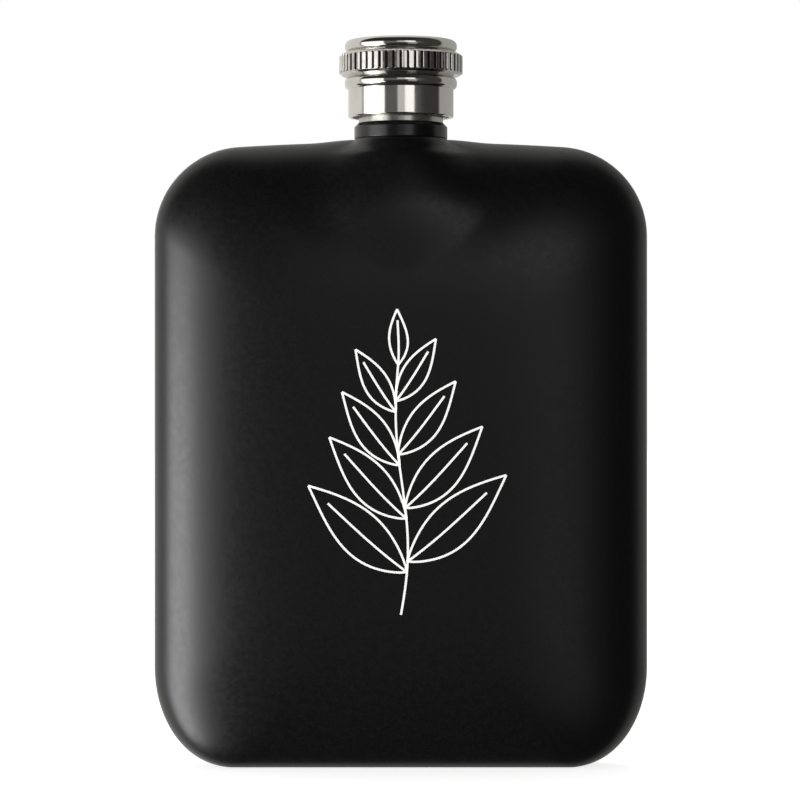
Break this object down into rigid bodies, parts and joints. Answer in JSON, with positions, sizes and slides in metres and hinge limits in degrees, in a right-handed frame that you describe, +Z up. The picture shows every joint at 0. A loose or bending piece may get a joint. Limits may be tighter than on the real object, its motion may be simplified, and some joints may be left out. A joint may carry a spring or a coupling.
{
  "type": "hip flask",
  "caption": "Flat rounded-rectangular pocket flask with a short neck and a knurled screw cap.",
  "frame": {"origin": "centre of the flask's base, on the surface it stands on", "axes": "+Z up along the neck, +X along the flask's width, the front faces -Y"},
  "size_m": [0.0952, 0.024, 0.1401],
  "materials": {
    "powder_coat": "matte",
    "collar_coat": "satin",
    "spout_steel": "satin",
    "cap_steel": "polished",
    "liner_plastic": "moulded",
    "seal_rubber": "matte"
  },
  "bodies": {
    "flask": {"front_shell": "powder_coat", "back_shell": "powder_coat", "neck_collar": "collar_coat", "threaded_spout": "spout_steel"},
    "washer": {"seal_washer": "seal_rubber"},
    "cap": {"cap_shell": "cap_steel", "grip_ring": "cap_steel", "cap_top": "cap_steel", "cap_liner": "liner_plastic"}
  },
  "joints": [
    {"name": "cap_lift", "type": "slide", "parent": "flask", "child": "washer", "axis": [0, 0, 1], "range_m": [0, 0.0301]},
    {"name": "cap_turn", "type": "hinge", "parent": "washer", "child": "cap", "pos_m": [0, 0, 0.1302], "axis": [0, 0, 1], "range_deg": [0, 5400]}
  ],
  "couplings": [
    {"joint": "cap_lift", "follows": "cap_turn", "m_per_rad": 0.00031831}
  ]
}
